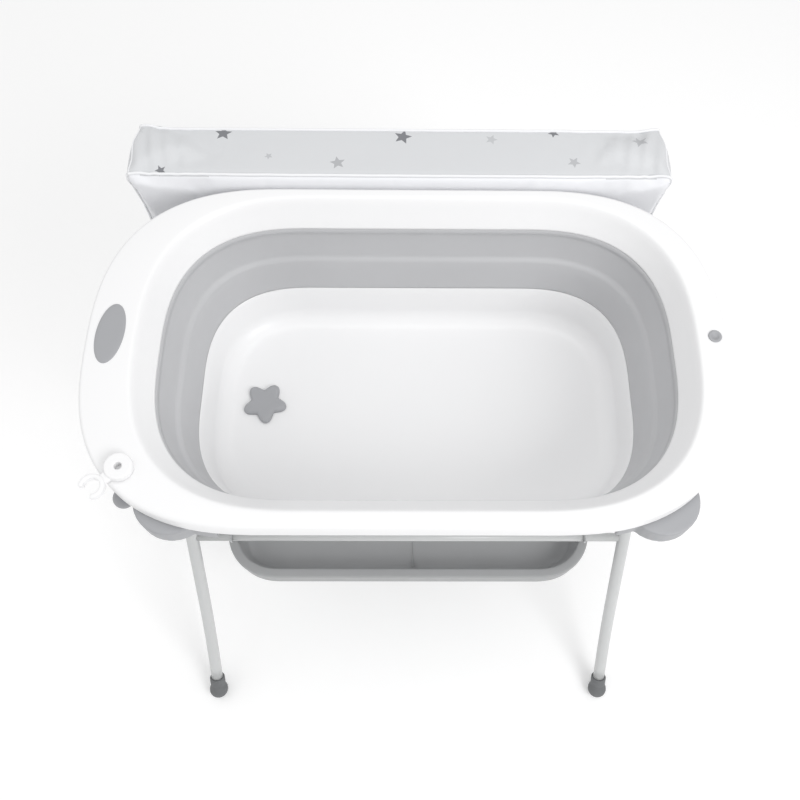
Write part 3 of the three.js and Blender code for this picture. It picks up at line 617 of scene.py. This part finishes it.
def trim():
    x, y = inset_middle()
    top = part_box("rim_inset")[1].z
    steps = [(0, -0.0024), (0, -0.0009), (0.0005, -0.0003), (0.0014, 0), (0.006, 0.0001)]
    loops = [
        oval(x, y, INSET["half_x"] - sink, INSET["half_y"] - sink, INSET["tilt"], top + rise)
        for sink, rise in steps
    ]
    inset = loft("rim_inset_oval", loops, "bath")
    dress(inset, "grey_plastic")
    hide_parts("rim_inset")

    low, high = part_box("rim_plug")
    radius = (high.x - low.x) / 2
    middle = ((low.x + high.x) / 2, (low.y + high.y) / 2, RIM_TOP)
    plug = lathe("rim_plug_button", [
        (0, -0.005), (0.006, -0.005), (0.006, 0.0003), (radius, 0.0003), (radius, 0.0008),
        (radius * 0.94, 0.0013), (radius * 0.8, 0.0015), (radius * 0.55, 0.0013), (radius * 0.5, 0.0006),
        (0, 0.0005),
    ], "bath", place=middle)
    dress(plug, "grey_plastic")
    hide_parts("rim_plug")


def soft_wall():
    top = WALL_TOP_Z - GAP
    fold_z = WALL_FOOT_Z + WALL_HEIGHT * 0.52

    def at(z, out=0.0):
        share = (z - WALL_FOOT_Z) / WALL_HEIGHT
        return grown(mixed(WALL_FOOT, WALL_TOP, share), out)

    inside = [
        (at(top, 0.0012), top),
        (at(top, 0.0002), top - 0.0008),
        (at(top, -0.0004), top - 0.0035),
        (at(top - 0.007, -0.0004), top - 0.0070),
        (at(top - 0.0082, 0.0008), top - 0.0082),
        (at(top - 0.0095, 0.0016), top - 0.0095),
        (at(top - 0.014, 0.0019), top - 0.0140),
        (at(fold_z + 0.022, 0.0022), fold_z + 0.022),
        (at(fold_z + FOLD_STEP, FOLD_STEP / 2), fold_z + FOLD_STEP),
        (at(fold_z + 0.002, 0.0021), fold_z + 0.002),
        (at(fold_z, 0.0002), fold_z),
        (at(fold_z - 0.002, -0.0019), fold_z - 0.002),
        (at(fold_z - FOLD_STEP, -FOLD_STEP / 2), fold_z - FOLD_STEP),
        (at(fold_z - 0.022, -0.0020), fold_z - 0.022),
        (at(WALL_FOOT_Z + 0.012, -0.0008), WALL_FOOT_Z + 0.012),
        (at(WALL_FOOT_Z + 0.004, -0.0002), WALL_FOOT_Z + 0.004),
        (at(WALL_FOOT_Z, 0.0006), WALL_FOOT_Z + 0.0002),
    ]
    outside = [(grown(shape, WALL_THICKNESS * 0.9), z) for shape, z in reversed(inside)]
    piece = loft("bath_wall_soft", levels(inside + outside), ring=True)
    dress(piece, "soft_wall")
    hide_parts("bath_wall")
    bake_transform(piece)


def base():
    side = grown(WALL_FOOT, -BASE_DRAFT)
    inner = [
        (grown(WALL_FOOT, 0.0020), BASE_TOP_Z),
        (grown(WALL_FOOT, 0.0005), BASE_TOP_Z - 0.0002),
        (grown(WALL_FOOT, -0.0004), BASE_TOP_Z - 0.0016),
        (mixed(WALL_FOOT, side, 0.4), BASE_TOP_Z - 0.012),
        (side, FLOOR_Z + BASE_ROUNDING),
    ]
    for i in range(1, 9):
        angle = math.pi / 2 * i / 8
        inner.append((
            grown(side, -BASE_ROUNDING * (1 - math.cos(angle))),
            FLOOR_Z + BASE_ROUNDING * (1 - math.sin(angle)),
        ))
    inner.append((grown(side, -BASE_ROUNDING - 0.012), FLOOR_Z))
    outer = [(grown(shape, 0.0029), z - (0.0029 if z < FLOOR_Z + 0.004 else 0)) for shape, z in inner]
    piece = loft("bath_base_shell", levels(list(reversed(outer)) + inner), "basin")
    dress(piece, "white_plastic")
    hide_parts("bath_base")

    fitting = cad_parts["drain_fitting"]
    dress(fitting, "grey_plastic")


STAR_PLACE = (-0.211, 0.016)
STAR_WAIST_RADIUS = 0.021
STAR_TIP_RADIUS = 0.032
STAR_TURN = -0.21


def drain_plug():
    low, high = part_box("drain_plug")
    x, y = STAR_PLACE
    waist, tip = STAR_WAIST_RADIUS, STAR_TIP_RADIUS

    def star(scale, z, sink=0.0):
        points = []
        for i in range(120):
            angle = 2 * math.pi * i / 120
            wave = (0.5 + 0.5 * math.cos(5 * angle)) ** 0.9
            radius = (waist + (tip - waist) * wave) * scale - sink
            turned = angle + STAR_TURN
            points.append((x + radius * math.cos(turned), y + radius * math.sin(turned), z))
        return points

    under, top = FLOOR_Z + 0.0003, high.z
    height = top - under
    piece = loft("drain_plug_star", [
        star(1, under, 0.0006), star(1, under + 0.0006), star(1, under + height * 0.45),
        star(1, under + height * 0.68, 0.0005), star(1, under + height * 0.86, 0.0016),
        star(1, under + height * 0.96, 0.0032), star(1, under + height, 0.0055),
        star(0.6, under + height * 1.0), star(0.3, under + height * 0.99),
    ], "plug")
    dress(piece, "grey_plastic")
    stem = lathe("drain_plug_stem", [
        (0, low.z - under), (0.0105, low.z - under), (0.0115, low.z - under + 0.001),
        (0.0115, -0.004), (0.0125, -0.0035), (0.0125, -0.0015), (0.0115, -0.001), (0.0115, 0.0008),
        (0, 0.0008),
    ], "plug", place=(x, y, under))
    dress(stem, "grey_plastic")
    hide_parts("drain_plug")


def holder_and_brackets():
    dress(moulded("hose_holder", "holder", 0.0008, 5), "white_plastic")
    for end in ("front", "rear"):
        for label in ("left", "right"):
            dress(moulded(f"{end}_{label}_bracket", "bath", 0.0014, 5), "grey_plastic")


# ---------- stand ----------

LEG_TOP_Y = HALF_WIDTH - 0.06825
LEG_TOP_Z = RIM_TOP - 0.09637


def leg_points(x, facing):
    """facing is -1 where the foot is at the front."""
    foot = Vector((x, facing * FOOT_Y, FOOT_RADIUS))
    knee = Vector((x, facing * KNEE[0], KNEE[1]))
    top = Vector((x, -facing * LEG_TOP_Y, LEG_TOP_Z))
    lower = (knee - foot).normalized()
    upper = (top - knee).normalized()
    start, end = knee - KNEE[2] * lower, knee + KNEE[2] * upper
    points = [foot + 0.014 * lower]
    for i in range(17):
        t = i / 16
        points.append((1 - t) ** 2 * start + 2 * t * (1 - t) * knee + t * t * end)
    points.append(top)
    return points, foot, lower, upper


def leg(end, label):
    facing = -1 if end == "front" else 1
    name = f"{end}_{label}"
    body = "stand" if end == "front" else "rear_legs"
    low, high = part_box(f"{name}_leg")
    x = (low.x + high.x) / 2
    points, foot, lower, upper = leg_points(x, facing)
    piece = tube(f"{name}_leg_tube", points, TUBE_RADIUS, body)
    dress(piece, "painted_tube")
    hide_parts(f"{name}_leg")

    collar = 0.0145
    start = math.asin(collar / FOOT_RADIUS)
    ball = []
    for i in range(15):
        angle = math.pi - (math.pi - start) * i / 14
        ball.append((0 if i == 0 else FOOT_RADIUS * math.sin(angle), FOOT_RADIUS * math.cos(angle)))
    rubber = lathe(f"{name}_foot_ball", [
        *ball, (collar * 0.985, 0.0125), (collar * 0.94, 0.0140), (collar * 0.94, 0.0155),
        (collar, 0.0168), (collar, 0.0320), (collar - 0.0006, 0.0334), (collar - 0.0018, 0.0340),
        (TUBE_RADIUS + GAP, 0.0340), (TUBE_RADIUS + GAP, 0.0137), (0, 0.0137),
    ], body, place=foot, direction=lower)
    dress(rubber, "foot_rubber")
    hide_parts(f"{name}_foot")

    dome = []
    for i in range(8):
        angle = math.pi / 16 * i
        dome.append((CAP_RADIUS * math.cos(angle), CAP_RADIUS * math.sin(angle)))
    cap = lathe(f"{name}_cap_dome", [
        (0, 0.0003), (0.0113, 0.0003), (0.0113, -0.0158), (CAP_RADIUS - 0.0006, -0.016),
        (CAP_RADIUS, -0.0153), *dome, (0, CAP_RADIUS),
    ], body, place=points[-1], direction=upper)
    dress(cap, "grey_plastic")
    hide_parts(f"{name}_cap")


def cross_tube(node, body, leg_node):
    low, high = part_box(node)
    leg_low, leg_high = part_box(leg_node)
    reach = min(abs(leg_low.x), abs(leg_high.x)) + 0.001
    y, z = (low.y + high.y) / 2, (low.z + high.z) / 2
    piece = tube(f"{node}_bar", [(-reach, y, z), (0, y, z), (reach, y, z)], CROSS_TUBE_RADIUS, body)
    dress(piece, "painted_tube")
    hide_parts(node)


def kept(node, slot_name):
    """A small CAD piece that is kept as it is, with its edges broken."""
    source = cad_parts[node]
    dress(source, slot_name)
    bevel = source.modifiers.new("edges", "BEVEL")
    bevel.width = 0.0004
    bevel.segments = 2
    bevel.limit_method = "ANGLE"
    bevel.angle_limit = math.radians(50)


def stand():
    for label in ("left", "right"):
        for end in ("front", "rear"):
            leg(end, label)
        for name in ("pivot", "arm"):
            for kind, slot_name in (("bolt", "steel"), ("nut", "steel"), ("spacer", "grey_plastic")):
                kept(f"{name}_{label}_{kind}", slot_name)
        kept(f"pad_{label}_pin", "steel")
        kept(f"pad_{label}_arm", "white_plastic")
    for end, body in (("front", "stand"), ("rear", "rear_legs")):
        for level in ("lower", "upper"):
            cross_tube(f"{end}_{level}_tube", body, f"{end}_right_leg")


# ---------- tray ----------

TRAY_POWER = 2.3
TRAY_BELOW_RIM = 0.61
TRAY_HALF_X = 0.334
TRAY_HALF_Y = 0.150
TRAY_CORNER = 0.100
TRAY_LIP = 0.016
RIB_X = 0.008


def tray():
    top, floor_z = RIM_TOP - TRAY_BELOW_RIM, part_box("storage_tray")[0].z
    lip = TRAY_LIP
    shape = (TRAY_HALF_X, TRAY_HALF_Y, TRAY_CORNER, 0.0, 0.0)
    shapes = [
        (grown(shape, -0.022), floor_z),
        (grown(shape, -0.016), floor_z + 0.0004),
        (grown(shape, -0.0095), floor_z + 0.0026),
        (grown(shape, -0.0045), floor_z + 0.0065),
        (grown(shape, -0.0028), floor_z + 0.0130),
        (grown(shape, -0.0024), top - 0.0135),
        (grown(shape, -0.0020), top - 0.0125),
        (grown(shape, -0.0006), top - 0.0112),
        (grown(shape, 0), top - 0.0100),
        *fillet(shape, 0.0035, top, 5),
        (grown(shape, -lip + 0.0035), top),
        (grown(shape, -lip + 0.0015), top - 0.0004),
        (grown(shape, -lip), top - 0.0020),
        (grown(shape, -lip - 0.0022), top - 0.0110),
        (grown(shape, -lip - 0.0095), floor_z + 0.0140),
        (grown(shape, -lip - 0.0120), floor_z + 0.0075),
        (grown(shape, -lip - 0.0165), floor_z + 0.0038),
        (grown(shape, -lip - 0.0230), floor_z + 0.0025),
        (grown(shape, -lip - 0.0400), floor_z + 0.0025),
    ]
    piece = loft("storage_tray_shell", levels(shapes, TRAY_POWER), "tray")
    dress(piece, "tray_plastic")
    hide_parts("storage_tray")
    reach = TRAY_HALF_Y - lip - 0.020
    near, bend, foot = reach + 0.009, reach, reach - 0.012
    profile = [(near, 0.030), (bend, 0.0065), (foot, 0.0026)]
    path = [(-y, up) for y, up in profile] + [(0, 0.0026)] + list(reversed(profile))
    rib = tube("tray_rib", [(RIB_X, y, floor_z + up) for y, up in path], 0.0016, "tray", sides=12)
    dress(rib, "tray_plastic")
    for end in ("front", "rear"):
        for label in ("left", "right"):
            kept(f"tray_{end}_{label}_hanger", "steel")


# ---------- changing pad ----------

PAD_SWELL = 0.006
SWELL_FRAMES = 20
PAD_VOXEL = 0.006
PAD_ROUNDING = 0.007
PANEL_EDGE = 0.008
CREASE_REACH = 0.070
CREASE_DEPTH = 0.0036
CREASE_PITCH = 0.021
PAD_DRAW_IN = 0.026
PAD_PROUD = 0.006


def block(name, low, high, rounding):
    work = bmesh.new()
    bmesh.ops.create_cube(work, size=1)
    for vert in work.verts:
        vert.co = Vector((
            low.x if vert.co.x < 0 else high.x,
            low.y if vert.co.y < 0 else high.y,
            low.z if vert.co.z < 0 else high.z,
        ))
    bmesh.ops.bevel(work, geom=list(work.edges), offset=rounding, segments=3, affect="EDGES", profile=0.5)
    mesh = bpy.data.meshes.new(name)
    work.to_mesh(mesh)
    work.free()
    piece = bpy.data.objects.new(name, mesh)
    bpy.context.scene.collection.objects.link(piece)
    return piece


def swell(piece, furthest):
    """Inflates the cover as cloth, and keeps each point within a set distance of its start."""
    start = [v.co.copy() for v in piece.data.vertices]
    modifier = piece.modifiers.new("cloth", "CLOTH")
    settings = modifier.settings
    settings.quality = 5
    settings.use_pressure = True
    settings.uniform_pressure_force = 4
    settings.effector_weights.gravity = 0
    settings.shrink_min = -0.025
    scene = bpy.context.scene
    modifier.point_cache.frame_start = 1
    modifier.point_cache.frame_end = SWELL_FRAMES
    for frame_number in range(1, SWELL_FRAMES + 1):
        scene.frame_set(frame_number)
    depsgraph = bpy.context.evaluated_depsgraph_get()
    moved = [v.co.copy() for v in piece.evaluated_get(depsgraph).data.vertices]
    piece.modifiers.clear()
    scene.frame_set(1)
    for vert, was, now in zip(piece.data.vertices, start, moved):
        step = now - was
        if step.length > furthest:
            step = step.normalized() * furthest
        vert.co = was + step


def pucker(point, low, high):
    """Creases that run in from the pad's corners across its narrow sides."""
    depth = high.y - low.y
    rise = 0.0
    for x in (low.x, high.x):
        for z in (low.z, high.z):
            away = math.hypot(point.x - x, point.z - z)
            across = (point.y - low.y) / depth
            fade = math.exp(-((away / CREASE_REACH) ** 2)) * math.sin(math.pi * min(max(across, 0), 1))
            rise += CREASE_DEPTH * fade * math.sin(2 * math.pi * (away / CREASE_PITCH + 1.3 * across))
    return rise


def settled(point, low, high):
    """Towards the back, where no board holds it, the cover draws in and the padding stands proud."""
    share = (point.y - low.y) / (high.y - low.y)
    middle = (low.x + high.x) / 2
    return Vector((
        middle + (point.x - middle) * (1 - PAD_DRAW_IN * share),
        point.y + PAD_PROUD * share,
        point.z,
    ))


def pad():
    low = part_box("pad_board")[0].copy()
    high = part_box("pad_cushion")[1].copy()
    inset = Vector((PAD_SWELL, PAD_SWELL, PAD_SWELL)) * 0.7
    cover = block("pad_cover", low + inset, high - inset, PAD_ROUNDING)
    remesh = cover.modifiers.new("remesh", "REMESH")
    remesh.mode = "VOXEL"
    remesh.voxel_size = PAD_VOXEL
    apply_modifiers(cover)
    swell(cover, PAD_SWELL)
    cover.data.update()
    normals = [v.normal.copy() for v in cover.data.vertices]
    for vert, normal in zip(cover.data.vertices, normals):
        vert.co = settled(vert.co + normal * pucker(vert.co, low, high), low, high)
    subdivide = cover.modifiers.new("subdivide", "SUBSURF")
    subdivide.levels = subdivide.render_levels = 1
    apply_modifiers(cover)
    cover.data.shade_smooth()
    paint_cover(cover, low, high)
    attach(cover, "pad")
    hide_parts("pad_board", "pad_cushion")
    seams(cover, low, high)


def paint_cover(cover, low, high):
    names = ("pad_fabric", "pad_print_back", "pad_print_side", "pad_panel")
    cover.data.materials.clear()
    for name in names:
        cover.data.materials.append(MATERIALS[name])
    reach = PANEL_EDGE
    for face in cover.data.polygons:
        middle = face.center
        if middle.y < low.y + reach:
            face.material_index = 3
        elif middle.y > high.y + PAD_PROUD - reach:
            face.material_index = 1
        elif abs(face.normal.x) > 0.8:
            face.material_index = 2
        else:
            face.material_index = 0


def seams(cover, low, high):
    """Piping around the front and the back panel, and a lap seam down each corner of the boxing."""
    mesh = cover.data
    tree = BVHTree.FromPolygons([v.co for v in mesh.vertices], [p.vertices[:] for p in mesh.polygons])
    half_x, half_z = (high.x - low.x) / 2, (high.z - low.z) / 2
    middle_x, middle_z = (high.x + low.x) / 2, (high.z + low.z) / 2
    for name, y in (("front", low.y + 0.0055), ("back", high.y - 0.0055)):
        path = []
        for x, z in outline(half_x, half_z, 0.012, middle_x, middle_z, power=2.2, steps=8):
            path.append(Vector((x, y, z)))
        fine = []
        for a, b in zip(path, path[1:] + path[:1]):
            count = max(1, int((b - a).length / 0.008))
            fine += [a.lerp(b, i / count) for i in range(count)]
        found = []
        for point in fine:
            hit, normal, _, _ = tree.find_nearest(settled(point, low, high))
            found.append(hit + normal * 0.0008)
        cord = tube(f"pad_piping_{name}", found, 0.0021, "pad", sides=12, closed=True)
        dress(cord, "pad_piping")
    for label, side in (("left", -1), ("right", 1)):
        found = []
        for i in range(15):
            y = low.y + 0.008 + (high.y - low.y - 0.016) * i / 14
            corner = settled(Vector((middle_x + side * half_x, y, high.z)), low, high)
            hit, normal, _, _ = tree.find_nearest(corner)
            found.append(hit + normal * 0.0002)
        dress(tube(f"pad_corner_seam_{label}", found, 0.0009, "pad", sides=8), "pad_piping")


camera()
studio()
rim()
trim()
soft_wall()
base()
drain_plug()
holder_and_brackets()
stand()
tray()
pad()
